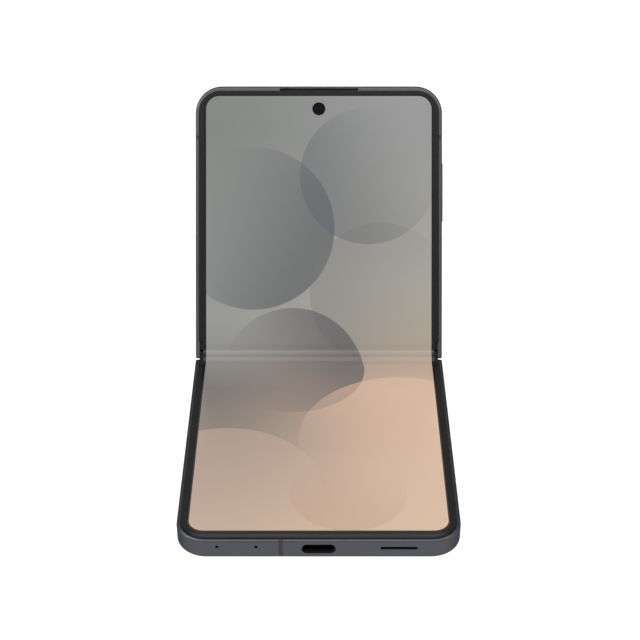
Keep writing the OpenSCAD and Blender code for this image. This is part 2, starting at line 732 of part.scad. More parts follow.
// A key's cap: stands proud of the wall by p
module key_cap(y, l, p) {
  translate([body_w / 2 + p - 0.85, y - l / 2, key_z - 1.0]) cube([0.6, l, 2.0]);
  translate([body_w / 2 + p - 0.3, y - l / 2 + 0.2, key_z - 0.8]) cube([0.3, l - 0.4, 1.6]);
}
module plunger(y, p) {
  translate([35.6, y, key_z]) rotate([0, 90, 0])
    cylinder(r = 0.6, h = body_w / 2 + p - 0.8 - 35.6);
}
module volume_key() {
  color([0.36, 0.37, 0.40]) in_upper() {
    union() {
      key_cap(volume_y, volume_l - 0.3, 0.3);
      // Boss that the key rocks on
      translate([volume_x, volume_y, key_z - 0.9]) cylinder(r = 0.25, h = 1.8);
      for (d = [-6, 6]) plunger(volume_y + d, 0.3);
    }
  }
}
module power_key() {
  color([0.36, 0.37, 0.40]) in_upper() {
    union() {
      key_cap(power_y, power_l, 0.1);
      plunger(power_y, 0.1);
    }
  }
}
module sim_tray() {
  color([0.36, 0.37, 0.40]) in_upper() difference() {
    union() {
      translate([-body_w / 2, sim_y - 7.0, key_z - 1.0]) cube([0.85, 14.0, 2.0]);
      translate([-body_w / 2 + 0.5, sim_y - 6.4, key_z - 0.45]) cube([14.0, 12.8, 0.9]);
    }
    // Card pocket
    translate([-body_w / 2 + 2.6, sim_y - 4.4, key_z - 0.25]) cube([11.2, 8.8, 2]);
    // Pin hole of the ejector
    translate([-body_w / 2 - 1, sim_y + 5.6, key_z]) rotate([0, 90, 0]) cylinder(r = 0.42, h = 1.5);
  }
}

lower_frame();
lower_antenna_breaks();
lower_back_glass();
lower_battery();
sub_circuit_board();
usb_c_shell();
usb_c_tongue();
speaker_module();
speaker_mesh();
microphones();
vibration_motor();
charging_coil();
lower_support_plate();
lower_display_panel();
lower_bezel();
lower_hinge_wing();
lower_wing_screws();
sub_board_screws();
hinge_spine_cover();
hinge_brackets();
hinge_bracket_screws();
hinge_end_caps();
display_fold_section();
hinge_flex_cables();
sync_gear_1();
sync_gear_2();
sync_gear_3();
sync_gear_4();
upper_frame();
upper_antenna_breaks();
upper_cover_glass();
cover_display_panel();
main_circuit_board();
shield_cans();
upper_battery();
wide_camera_module();
ultrawide_camera_module();
camera_lens_rings();
camera_lens_glasses();
flash_lens();
selfie_camera();
earpiece_receiver();
earpiece_mesh();
key_switches();
sim_reader();
main_board_screws();
upper_support_plate();
upper_display_panel();
upper_bezel();
upper_hinge_wing();
upper_wing_screws();
volume_key();
power_key();
sim_tray();
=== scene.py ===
import math

import bmesh
import bpy
from mathutils import Matrix, Vector


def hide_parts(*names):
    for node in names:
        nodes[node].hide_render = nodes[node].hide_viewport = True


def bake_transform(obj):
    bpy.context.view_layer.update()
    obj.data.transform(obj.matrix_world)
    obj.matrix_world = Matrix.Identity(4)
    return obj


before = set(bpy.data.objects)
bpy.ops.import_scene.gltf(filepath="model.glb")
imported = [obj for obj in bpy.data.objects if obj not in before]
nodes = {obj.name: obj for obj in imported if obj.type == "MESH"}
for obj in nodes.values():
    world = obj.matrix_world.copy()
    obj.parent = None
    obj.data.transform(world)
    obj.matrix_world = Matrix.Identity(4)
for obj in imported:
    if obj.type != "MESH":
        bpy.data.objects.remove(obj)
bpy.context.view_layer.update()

MM = 0.001

# ---- the hinge's geometry, as the CAD has it (mm) ------------------------
BODY_W, HALF_L, BODY_T = 75.2, 83.35, 6.5
AX, AXIS_Z = 1.9, 4.95
HY = HALF_L / 2
PHI = math.radians(28.7)
RIM_Z = 5.95
SCREEN_H = 1.15
PANEL_IN = 2.4
CORNER_R = 8.2
CY, SY = math.cos(PHI), math.sin(PHI)
AXIS_A = (HY - AX, AXIS_Z)
AXIS_B = (AXIS_A[0] + 2 * AX * CY, AXIS_A[1] + 2 * AX * SY)


def lower_to_row(y, z):
    return HY + y, z


def upper_to_row(y, z):
    y = -y
    dy, dz = y - AX, z - AXIS_Z
    y1, z1 = AX + dy * CY - dz * SY, AXIS_Z + dy * SY + dz * CY
    dy, dz = y1 + AX, z1 - AXIS_Z
    y2, z2 = -AX + dy * CY - dz * SY, AXIS_Z + dy * SY + dz * CY
    return HY + y2, z2


# ---- node helpers --------------------------------------------------------

class Mat:
    """A small builder for node materials."""

    def __init__(self, name):
        self.m = bpy.data.materials.new(name)
        self.m.use_nodes = True
        self.t = self.m.node_tree
        self.t.nodes.clear()
        self.out = self.t.nodes.new("ShaderNodeOutputMaterial")
        self.b = self.t.nodes.new("ShaderNodeBsdfPrincipled")
        self.t.links.new(self.b.outputs[0], self.out.inputs["Surface"])

    def set(self, **kw):
        for k, v in kw.items():
            self.b.inputs[k.replace("_", " ")].default_value = v
        return self

    def n(self, kind, **props):
        node = self.t.nodes.new("ShaderNode" + kind)
        for k, v in props.items():
            if k.startswith("i_"):
                node.inputs[k[2:].replace("_", " ")].default_value = v
            else:
                setattr(node, k, v)
        return node

    def link(self, a, b):
        self.t.links.new(a, b)

    def coords(self, scale=(1, 1, 1), rot=(0, 0, 0)):
        tc = self.n("TexCoord")
        mp = self.n("Mapping")
        mp.inputs["Scale"].default_value = scale
        mp.inputs["Rotation"].default_value = rot
        self.link(tc.outputs["Object"], mp.inputs["Vector"])
        return mp.outputs["Vector"]

    def noise(self, vec, scale, detail=3.0, rough=0.5):
        n = self.n("TexNoise")
        n.inputs["Scale"].default_value = scale
        n.inputs["Detail"].default_value = detail
        n.inputs["Roughness"].default_value = rough
        self.link(vec, n.inputs["Vector"])
        return n.outputs["Fac"]

    def ramp(self, fac, stops, interp="LINEAR"):
        r = self.n("ValToRGB")
        r.color_ramp.interpolation = interp
        e = r.color_ramp.elements
        while len(e) > 1:
            e.remove(e[-1])
        e[0].position, e[0].color = stops[0][0], col(stops[0][1])
        for p, c in stops[1:]:
            x = e.new(p)
            x.color = col(c)
        self.link(fac, r.inputs["Fac"])
        return r.outputs["Color"]

    def math(self, op, a, b=None, clamp=False):
        n = self.n("Math", operation=op, use_clamp=clamp)
        for i, v in enumerate((a, b)):
            if v is None:
                continue
            if isinstance(v, (int, float)):
                n.inputs[i].default_value = v
            else:
                self.link(v, n.inputs[i])
        return n.outputs[0]

    def maprange(self, v, a, b, c, d, smooth=False):
        n = self.n("MapRange")
        n.clamp = True
        if smooth:
            n.interpolation_type = "SMOOTHSTEP"
        self.link(v, n.inputs["Value"])
        for k, x in zip(("From Min", "From Max", "To Min", "To Max"), (a, b, c, d)):
            n.inputs[k].default_value = x
        return n.outputs["Result"]

    def mix(self, fac, a, b, blend="MIX"):
        n = self.n("Mix", data_type="RGBA", blend_type=blend)
        if isinstance(fac, (int, float)):
            n.inputs["Factor"].default_value = fac
        else:
            self.link(fac, n.inputs["Factor"])
        for sock, v in zip((n.inputs[6], n.inputs[7]), (a, b)):
            if isinstance(v, tuple):
                sock.default_value = col(v)
            else:
                self.link(v, sock)
        return n.outputs[2]

    def bump(self, height, strength, distance):
        n = self.n("Bump")
        n.inputs["Strength"].default_value = strength
        n.inputs["Distance"].default_value = distance
        self.link(height, n.inputs["Height"])
        self.link(n.outputs["Normal"], self.b.inputs["Normal"])
        return n


def col(c):
    return (*c, 1.0) if len(c) == 3 else c


def srgb(*v):
    """0-255 sRGB to linear"""
    out = []
    for x in v:
        x /= 255.0
        out.append(x / 12.92 if x <= 0.04045 else ((x + 0.055) / 1.055) ** 2.4)
    return tuple(out)


# ---- materials -----------------------------------------------------------

def metal(name, base, rough, grain=1.0, metallic=1.0, coat=0.0, edge=0.35):
    """Bead-blasted anodised metal: fine speckle in colour, roughness and height."""
    k = Mat(name)
    v = k.coords()
    fine = k.noise(v, 9000.0, 2.0, 0.6)
    wide = k.noise(v, 60.0, 3.0, 0.5)
    lo = tuple(c * 0.90 for c in base)
    hi = tuple(c * 1.10 for c in base)
    colour = k.ramp(k.math("ADD", k.math("MULTIPLY", fine, 0.5), k.math("MULTIPLY", wide, 0.5)),
                    [(0.3, lo), (0.7, hi)])
    k.link(colour, k.b.inputs["Base Color"])
    k.link(k.maprange(wide, 0.3, 0.7, rough * 0.92, rough * 1.08), k.b.inputs["Roughness"])
    k.b.inputs["Metallic"].default_value = metallic
    k.b.inputs["Coat Weight"].default_value = coat
    k.b.inputs["Specular Tint"].default_value = (edge, edge, edge * 1.04, 1.0)
    k.bump(fine, 0.06 * grain, 0.00002)
    return k.m


def plastic(name, base, rough, speck=0.12, bump=0.12, scale=4000.0, coat=0.0, spec=0.5):
    k = Mat(name)
    v = k.coords()
    fine = k.noise(v, scale, 2.0, 0.55)
    wide = k.noise(v, 45.0, 2.0, 0.5)
    lo = tuple(c * (1 - speck) for c in base)
    hi = tuple(c * (1 + speck) for c in base)
    k.link(k.ramp(fine, [(0.3, lo), (0.7, hi)]), k.b.inputs["Base Color"])
    k.link(k.maprange(wide, 0.3, 0.7, rough * 0.9, min(1.0, rough * 1.1)), k.b.inputs["Roughness"])
    k.set(Coat_Weight=coat, Coat_Roughness=0.08, Specular_IOR_Level=spec)
    k.bump(fine, bump, 0.00002)
    return k.m


def brushed(name, base, rough, axis=0, metallic=1.0):
    k = Mat(name)
    sc = [1500.0, 1500.0, 1500.0]
    sc[axis] = 60.0
    v = k.coords(scale=tuple(sc))
    grain = k.noise(v, 1.0, 3.0, 0.6)
    k.link(k.ramp(grain, [(0.25, tuple(c * 0.82 for c in base)), (0.75, tuple(c * 1.12 for c in base))]),
           k.b.inputs["Base Color"])
    k.link(k.maprange(grain, 0.2, 0.8, rough * 0.8, rough * 1.25), k.b.inputs["Roughness"])
    k.b.inputs["Metallic"].default_value = metallic
    k.bump(grain, 0.12, 0.00001)
    return k.m


def mesh_material(name):
    """Woven acoustic mesh: two crossed wave sets."""
    k = Mat(name)
    tc = k.n("TexCoord")
    heights = []
    for rot in (0.0, math.pi / 2):
        mp = k.n("Mapping")
        mp.inputs["Rotation"].default_value = (0, rot, 0)
        k.link(tc.outputs["Object"], mp.inputs["Vector"])
        w = k.n("TexWave", wave_type="BANDS", bands_direction="X")
        w.inputs["Scale"].default_value = 1200.0
        k.link(mp.outputs["Vector"], w.inputs["Vector"])
        heights.append(w.outputs["Fac"])
    h = k.math("MULTIPLY", heights[0], heights[1])
    k.link(k.ramp(h, [(0.1, (0.004, 0.004, 0.004)), (0.9, (0.03, 0.03, 0.032))]), k.b.inputs["Base Color"])
    k.set(Roughness=0.6)
    k.bump(h, 0.4, 0.00004)
    return k.m


def board_material(name):
    """Solder mask with faint traces and pads."""
    k = Mat(name)
    v = k.coords(scale=(1, 1, 1))
    br = k.n("TexBrick")
    br.inputs["Scale"].default_value = 260.0
    br.inputs["Color1"].default_value = col((0.010, 0.060, 0.040))
    br.inputs["Color2"].default_value = col((0.014, 0.085, 0.055))
    br.inputs["Mortar"].default_value = col((0.02, 0.14, 0.085))
    br.inputs["Mortar Size"].default_value = 0.012
    k.link(v, br.inputs["Vector"])
    k.link(br.outputs["Color"], k.b.inputs["Base Color"])
    n = k.noise(v, 500.0)
    k.link(k.maprange(n, 0.3, 0.7, 0.3, 0.45), k.b.inputs["Roughness"])
    k.bump(br.outputs["Fac"], 0.2, 0.00003)
    return k.m


def coil_material(name):
    """Concentric copper windings about the coil's centre."""
    k = Mat(name)
    tc = k.n("TexCoord")
    mp = k.n("Mapping")
    mp.inputs["Location"].default_value = (0, -(HY - 35.0) * MM, 0)
    k.link(tc.outputs["Object"], mp.inputs["Vector"])
    w = k.n("TexWave", wave_type="RINGS", rings_direction="Z")
    w.inputs["Scale"].default_value = 380.0
    k.link(mp.outputs["Vector"], w.inputs["Vector"])
    k.link(k.ramp(w.outputs["Fac"], [(0.1, (0.22, 0.08, 0.03)), (0.8, (0.80, 0.40, 0.22))]), k.b.inputs["Base Color"])
    k.set(Metallic=0.9, Roughness=0.35)
    k.bump(w.outputs["Fac"], 0.5, 0.00008)
    return k.m


def glossy_black(name, base=(0.006, 0.006, 0.008), rough=0.06, coat=1.0, spec=0.5):
    k = Mat(name)
    v = k.coords()
    n = k.noise(v, 25.0, 2.0)
    k.link(k.ramp(n, [(0.3, tuple(c * 0.8 for c in base)), (0.7, tuple(c * 1.2 for c in base))]),
           k.b.inputs["Base Color"])
    k.link(k.maprange(n, 0.3, 0.7, rough, rough * 1.5), k.b.inputs["Roughness"])
    k.set(Coat_Weight=coat, Coat_Roughness=0.03, IOR=1.5, Specular_IOR_Level=spec)
    return k.m


def across_upper(k, y0):
    """Two coordinates in mm in the plane of the upper half's back: across it, and along it from y0"""
    tc = k.n("TexCoord")
    sep = k.n("SeparateXYZ")
    k.link(tc.outputs["Object"], sep.inputs[0])
    a, b = upper_to_row(y0, 0.0), upper_to_row(y0 - 1.0, 0.0)
    vy, vz = b[0] - a[0], b[1] - a[1]
    along = k.math("ADD", k.math("MULTIPLY", sep.outputs[1], vy * 1000.0),
                   k.math("MULTIPLY", sep.outputs[2], vz * 1000.0))
    along = k.math("SUBTRACT", along, a[0] * vy + a[1] * vz)
    return k.math("MULTIPLY", sep.outputs[0], 1000.0), along, tc.outputs["Object"]


def lens_material(name):
    """Coated lens: a dark pupil, stepped barrel rings and a black mask under one flat glass; the thin light rings at
    the steps are painted highlights on the step edges.
    """
    k = Mat(name)
    x, y, v = across_upper(k, -70.2)
    dx = k.math("SUBTRACT", k.math("ABSOLUTE", k.math("SUBTRACT", x, 14.5)), 8.0)
    r = k.math("SQRT", k.math("ADD", k.math("MULTIPLY", dx, dx), k.math("MULTIPLY", y, y)))
    t = k.math("DIVIDE", r, 5.4)
    # the thin lighter rings at 0.27, 0.45 and 0.65 are painted highlights on the edges of the barrel steps
    k.link(k.ramp(t, [(0.0, (0.012, 0.010, 0.030)), (0.15, (0.006, 0.006, 0.022)), (0.22, (0.002, 0.002, 0.004)),
                      (0.27, (0.030, 0.028, 0.050)), (0.30, (0.004, 0.004, 0.006)), (0.42, (0.010, 0.010, 0.013)),
                      (0.45, (0.045, 0.045, 0.050)), (0.48, (0.006, 0.006, 0.007)), (0.62, (0.014, 0.014, 0.016)),
                      (0.65, (0.070, 0.070, 0.075)), (0.68, (0.004, 0.004, 0.005)), (1.0, (0.003, 0.003, 0.004))]),
           k.b.inputs["Base Color"])
    n = k.noise(v, 900.0, 2.0)
    k.link(k.maprange(n, 0.3, 0.7, 0.05, 0.08), k.b.inputs["Roughness"])
    k.set(Specular_IOR_Level=0.30, Coat_Weight=0.35, Coat_Roughness=0.03, Coat_Tint=(0.72, 0.78, 1.0, 1.0))
    return k.m


def cover_material(name):
    """Outer glass over a dark display: the lit area is off, a shade lighter than the black border round it."""
    k = Mat(name)
    x, y, v = across_upper(k, -36.2)
    ax = k.math("ABSOLUTE", x)
    ay = k.math("ABSOLUTE", y)
    qx = k.math("MAXIMUM", k.math("SUBTRACT", ax, 33.5 - 3.0), 0.0)
    qy = k.math("MAXIMUM", k.math("SUBTRACT", ay, 24.8 - 3.0), 0.0)
    d = k.math("SQRT", k.math("ADD", k.math("MULTIPLY", qx, qx), k.math("MULTIPLY", qy, qy)))
    area_on = k.maprange(d, 3.15, 2.85, 0.0, 1.0, smooth=True)
    n = k.noise(v, 30.0, 2.0)
    dots = k.noise(v, 6000.0, 1.0)
    shade = k.ramp(dots, [(0.3, (0.010, 0.010, 0.012)), (0.7, (0.017, 0.017, 0.020))])
    k.link(k.mix(area_on, (0.0025, 0.0025, 0.003), shade), k.b.inputs["Base Color"])
    k.link(k.maprange(n, 0.3, 0.7, 0.07, 0.11), k.b.inputs["Roughness"])
    k.set(Specular_IOR_Level=0.28, Coat_Weight=0.3, Coat_Roughness=0.04, IOR=1.5)
    return k.m


FRAME = metal("graphite_metal", srgb(79, 80, 86), 0.44)
SPINE = metal("spine_metal", srgb(84, 85, 91), 0.36)
KEY = metal("key_metal", srgb(88, 89, 96), 0.36)
BREAK = plastic("antenna_plastic", srgb(43, 42, 47), 0.55, spec=0.25)
BACK = plastic("frosted_back_glass", srgb(58, 60, 66), 0.34, speck=0.05, bump=0.05, scale=7000.0, coat=0.25)
COVER = cover_material("cover_glass")
BEZEL = plastic("bezel_plastic", srgb(15, 15, 16), 0.42, speck=0.08, bump=0.06, scale=5000.0, spec=0.18)


def painted_front_highlight(m, y0, y1, shade):
    """Painted highlight: the strip at the port end is lightened to a greyer, mottled tone in its base colour,
    standing for the light that this front edge catches
    """
    k = Mat.__new__(Mat)
    k.m, k.t = m, m.node_tree
    k.b = next(n for n in k.t.nodes if n.type == "BSDF_PRINCIPLED")
    old = k.b.inputs["Base Color"].links[0].from_socket
    tc = k.n("TexCoord")
    sep = k.n("SeparateXYZ")
    k.link(tc.outputs["Object"], sep.inputs[0])
    f = k.maprange(sep.outputs[1], y0 * MM, y1 * MM, 0.0, 1.0, smooth=True)
    patch = k.maprange(k.noise(tc.outputs["Object"], 220.0, 3.0), 0.3, 0.7, 0.8, 1.0)
    k.link(k.mix(k.math("MULTIPLY", f, patch), old, shade), k.b.inputs["Base Color"])


# painted highlight: the lower bezel's front strip is made lighter in its base colour
painted_front_highlight(BEZEL, -38.4, -40.4, srgb(50, 50, 53))
CAPS = plastic("cap_plastic", srgb(12, 12, 13), 0.45, speck=0.08, bump=0.06, spec=0.12)
BLACK = plastic("black_plastic", srgb(28, 28, 30), 0.5)
MESH = mesh_material("acoustic_mesh")
BATTERY = plastic("battery_pouch", srgb(40, 40, 43), 0.35, speck=0.2, bump=0.3, scale=900.0)
BOARD = board_material("circuit_board")
PLATED = brushed("plated_steel", (0.52, 0.52, 0.54), 0.32)
PORT = brushed("port_shell", (0.055, 0.055, 0.06), 0.45, axis=1)
STEEL = brushed("steel_plate", (0.28, 0.28, 0.29), 0.38)
SCREW = brushed("screw_steel", (0.58, 0.58, 0.60), 0.30, axis=2)
GEAR = brushed("gear_brass", (0.60, 0.47, 0.24), 0.33)
COIL = coil_material("coil_copper")
LENS = lens_material("lens_glass")
OFF_PANEL = glossy_black("display_off", (0.010, 0.010, 0.012), 0.2, coat=0.0, spec=0.3)
SELFIE = glossy_black("front_lens", (0.004, 0.004, 0.006), 0.05, coat=0.0, spec=0.14)
RING = metal("lens_ring", srgb(88, 89, 96), 0.22, grain=0.4)
FLASH = plastic("flash_diffuser", srgb(235, 225, 190), 0.25, speck=0.1, bump=0.3, scale=1600.0, coat=0.6)
FLEX_FILM = plastic("flex_film", (0.42, 0.20, 0.035), 0.28, speck=0.15, bump=0.1, scale=1200.0, coat=0.4)
MICS = brushed("microphone_can", (0.62, 0.50, 0.26), 0.3)
TONGUE = plastic("tongue_plastic", srgb(24, 24, 26), 0.45)

GIVEN = {
    FRAME: ["lower_frame", "upper_frame"],
    SPINE: ["hinge_spine_cover"],
    KEY: ["volume_key", "power_key", "sim_tray"],
    BREAK: ["lower_antenna_breaks", "upper_antenna_breaks"],
    BACK: ["lower_back_glass"],
    COVER: ["upper_cover_glass"],
    BEZEL: ["lower_bezel", "upper_bezel"],
    CAPS: ["hinge_end_caps"],
    BLACK: ["speaker_module", "earpiece_receiver", "wide_camera_module", "ultrawide_camera_module"],
    TONGUE: ["usb_c_tongue"],
    MESH: ["speaker_mesh", "earpiece_mesh"],
    BATTERY: ["lower_battery", "upper_battery"],
    BOARD: ["sub_circuit_board", "main_circuit_board"],
    PORT: ["usb_c_shell"],
    PLATED: ["shield_cans", "sim_reader", "vibration_motor", "key_switches"],
    STEEL: ["lower_support_plate", "upper_support_plate", "lower_hinge_wing", "upper_hinge_wing", "hinge_brackets"],
    SCREW: ["lower_wing_screws", "upper_wing_screws", "sub_board_screws", "main_board_screws",
            "hinge_bracket_screws"],
    GEAR: ["sync_gear_1", "sync_gear_2", "sync_gear_3", "sync_gear_4"],
    COIL: ["charging_coil"],
    LENS: ["camera_lens_glasses"],
    OFF_PANEL: ["cover_display_panel"],
    SELFIE: ["selfie_camera"],
    RING: ["camera_lens_rings"],
    FLASH: ["flash_lens"],
    FLEX_FILM: ["hinge_flex_cables"],
    MICS: ["microphones"],
}


def dress(o, m):
    if not o.data.materials:
        o.data.materials.append(m)
    for i in range(len(o.data.materials)):
        o.data.materials[i] = m
    for s in o.material_slots:
        s.material = m


for m, names in GIVEN.items():
    for n in names:
        dress(nodes[n], m)

# soft edges on the moulded ring round the screen
for n in ("lower_bezel", "upper_bezel"):
    b = nodes[n].modifiers.new("soft_edge", "BEVEL")
    b.width = 0.42 * MM
    b.segments = 5
    b.limit_method = "ANGLE"
    b.angle_limit = math.radians(50)
    b.harden_normals = True

# ---- the folding screen --------------------------------------------------

U_W = BODY_W / 2 - PANEL_IN          # half width of the panel
FAR = HALF_L - PANEL_IN              # distance of its far edge from the fold
LIT_W = 34.32
LIT_FAR_UP, LIT_FAR_LOW = 80.3, 79.45   # the border at the port end is wider
PANEL_R = 4.8
LIT_R = 4.1
FLEX = 4.8                           # the screen bends this far from the fold
THICK_RIGID, THICK_FLEX = 0.78, 0.42


def smooth(t):
    t = min(1.0, max(0.0, t))
    return t * t * (3 - 2 * t)


def section(height):
    """Rest positions (y, z in the lower half's frame, from axis A) of a line that lies
    at height(t) when the phone is flat, with t from 0 where the bend starts to 1 at the fold."""
    ys, ye = AX - FLEX, AX * CY - height(1.0) * SY
    out = []
    n = 30
    for i in range(n + 1):
        t = i / n
        h = height(t)
        w = smooth(t)
        a = PHI * w
        y = ys + t * (ye - ys)
        dy = (y + h * math.sin(a)) / math.cos(a)
        z = dy * math.sin(a) + h * math.cos(a)
        out.append((y, z, AX - dy))
    return out                        # (y, z, flat distance from the fold)


def outline_half(s):
    """Half width of the panel at distance s from the fold, with its round far corner"""
    r = PANEL_R
    k = s - (FAR - r)
    if k <= 0:
        return U_W
    return U_W - r + math.sqrt(max(0.0, r * r - k * k))


def screen(name, upper):
    top = section(lambda t: SCREEN_H)
    bot_rigid = SCREEN_H - THICK_RIGID
    # stations: flat part from the far edge to the flex zone, then the bend
    stations = []
    far = [FAR - PANEL_R * (1 - math.sin(math.radians(90 - 7.5 * i))) for i in range(13)]
    far = sorted({round(x, 6) for x in far}, reverse=True)
    flat = far + [FAR - PANEL_R - 0.5 - i * (FAR - PANEL_R - 0.5 - FLEX) / 8 for i in range(8)]
    for s in flat:
        stations.append((s, (AX - s, SCREEN_H), (AX - s, bot_rigid)))
    bottom = section(lambda t: SCREEN_H - THICK_RIGID + (THICK_RIGID - THICK_FLEX) * smooth(t * 5.0))
    for (y, z, s), b in zip(top, bottom):
        stations.append((s, (y, z), (b[0], b[1])))
    me = bpy.data.meshes.new(name)
    bm = bmesh.new()
    uv = bm.loops.layers.uv.new("screen")
    cols = 40
    rows_top, rows_bot = [], []
    for s, t, b in stations:
        hw = outline_half(s)
        rt, rb = [], []
        for j in range(cols + 1):
            x = -hw + 2 * hw * j / cols
            for lst, p in ((rt, t), (rb, b)):
                y, z = p[0] + AXIS_A[0], p[1] + AXIS_A[1]
                if upper:
                    # the same construction, mirrored about the spine's centre plane
                    y, z = mirror_spine(y, z)
                lst.append(bm.verts.new((x * MM, y * MM, z * MM)))
        rows_top.append(rt)
        rows_bot.append(rb)
    side = 1 if upper else -1
    uvof = {}
    for (s, t, b), rt, rb in zip(stations, rows_top, rows_bot):
        hw = outline_half(s)
        for j in range(cols + 1):
            x = -hw + 2 * hw * j / cols
            p = (x / 100.0 + 0.5, side * s / 200.0 + 0.5)
            uvof[rt[j]] = p
            uvof[rb[j]] = p
    faces = []
    for i in range(len(stations) - 1):
        for j in range(cols):
            faces.append((rows_top[i][j], rows_top[i][j + 1], rows_top[i + 1][j + 1], rows_top[i + 1][j]))
            faces.append((rows_bot[i][j], rows_bot[i + 1][j], rows_bot[i + 1][j + 1], rows_bot[i][j + 1]))
        faces.append((rows_top[i][0], rows_top[i + 1][0], rows_bot[i + 1][0], rows_bot[i][0]))
        faces.append((rows_top[i][cols], rows_bot[i][cols], rows_bot[i + 1][cols], rows_top[i + 1][cols]))
    for j in range(cols):
        faces.append((rows_top[0][j], rows_bot[0][j], rows_bot[0][j + 1], rows_top[0][j + 1]))
        faces.append((rows_top[-1][j], rows_top[-1][j + 1], rows_bot[-1][j + 1], rows_bot[-1][j]))
    for f in faces:
        if upper:
            f = tuple(reversed(f))
        face = bm.faces.new(f)
        face.smooth = True
        face.material_index = 0
        for l in face.loops:
            l[uv].uv = uvof[l.vert]
    bmesh.ops.remove_doubles(bm, verts=bm.verts, dist=1e-8)
    bmesh.ops.recalc_face_normals(bm, faces=bm.faces)
    for e in bm.edges:
        if len(e.link_faces) == 2 and e.calc_face_angle(0.0) > math.radians(40):
            e.smooth = False
    bm.to_mesh(me)
    bm.free()
    o = bpy.data.objects.new(name, me)
    bpy.context.scene.collection.objects.link(o)
    return o


MID = ((AXIS_A[0] + AXIS_B[0]) / 2, (AXIS_A[1] + AXIS_B[1]) / 2)


def mirror_spine(y, z):
    """Mirror a point about the plane through the spine's centre line, across the spine"""
    dy, dz = y - MID[0], z - MID[1]
    a = dy * CY + dz * SY
    b = -dy * SY + dz * CY
    a = -a
    return MID[0] + a * CY - b * SY, MID[1] + a * SY + b * CY


def cut_hole(o, x, s, r):
    """Front camera's hole: a boolean, then applied"""
    y, z = upper_to_row(-s, 6.0)
    bpy.ops.mesh.primitive_cylinder_add(vertices=64, radius=r * MM, depth=6 * MM, location=(x * MM, y * MM, z * MM),
                                        rotation=(2 * PHI, 0, 0))
    c = bpy.context.object
    mod = o.modifiers.new("hole", "BOOLEAN")
    mod.operation = "DIFFERENCE"
    mod.solver = "EXACT"
    mod.object = c
    dg = bpy.context.evaluated_depsgraph_get()
    me = bpy.data.meshes.new_from_object(o.evaluated_get(dg))
    o.modifiers.clear()
    old = o.data
    o.data = me
    bpy.data.meshes.remove(old)
    bpy.data.objects.remove(c)


def tone(*v):
    """An sRGB tone as it is seen, less the light that the film reflects"""
    return tuple(max(0.0, c - GLARE) for c in srgb(*v))


